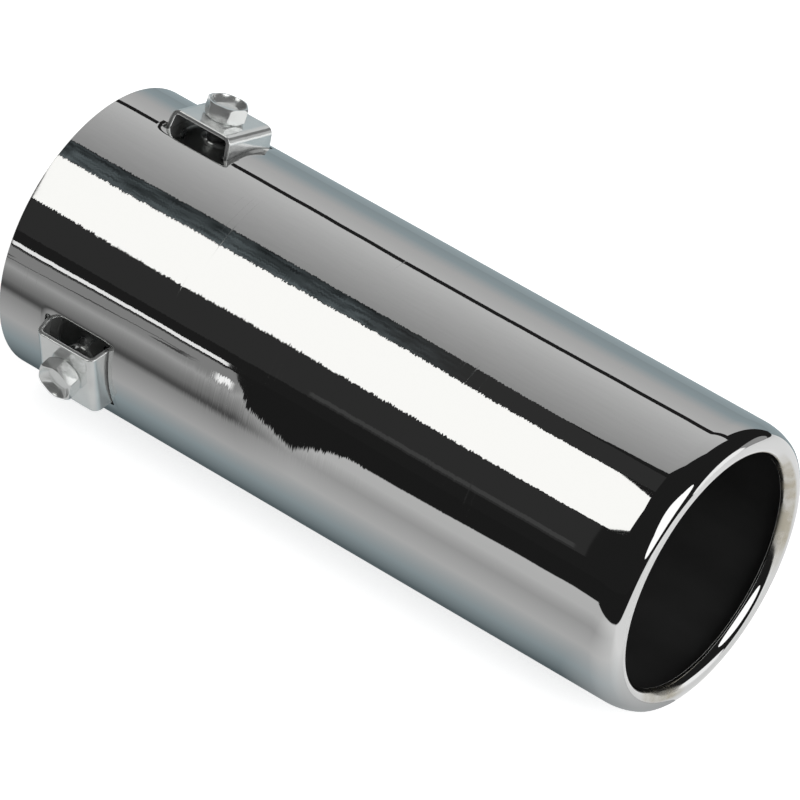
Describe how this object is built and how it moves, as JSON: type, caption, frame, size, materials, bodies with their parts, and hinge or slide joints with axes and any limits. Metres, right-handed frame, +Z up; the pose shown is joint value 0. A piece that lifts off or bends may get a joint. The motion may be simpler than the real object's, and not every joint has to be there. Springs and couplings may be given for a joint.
{
  "type": "exhaust tip",
  "caption": "Straight chromed exhaust tip with a rolled-in outlet lip, slid over a tail pipe and held by clamp screws in folded sheet brackets near its plain-cut inlet.",
  "frame": {"origin": "centre of the plain-cut inlet end", "axes": "+X along the sleeve from the inlet to the outlet lip, +Z up with the tip lying on its side"},
  "size_m": [0.156, 0.0697, 0.0697],
  "materials": {
    "sleeve_chrome": "polished chrome plate",
    "clamp_zinc": "bright zinc plate"
  },
  "bodies": {
    "sleeve": {"tip_tube": "sleeve_chrome", "clamp_bracket_1": "clamp_zinc", "clamp_bracket_2": "clamp_zinc", "clamp_bracket_3": "clamp_zinc"},
    "screw_1": {"clamp_screw_1": "clamp_zinc"},
    "screw_2": {"clamp_screw_2": "clamp_zinc"},
    "screw_3": {"clamp_screw_3": "clamp_zinc"}
  },
  "joints": [
    {"name": "screw_1_travel", "type": "slide", "parent": "sleeve", "child": "screw_1", "axis": [0, 0.2588, 0.9659], "range_m": [0, 0.0115]},
    {"name": "screw_2_travel", "type": "slide", "parent": "sleeve", "child": "screw_2", "axis": [0, -0.9659, -0.2588], "range_m": [0, 0.0115]},
    {"name": "screw_3_travel", "type": "slide", "parent": "sleeve", "child": "screw_3", "axis": [0, 0.7071, -0.7071], "range_m": [0, 0.0115]}
  ]
}
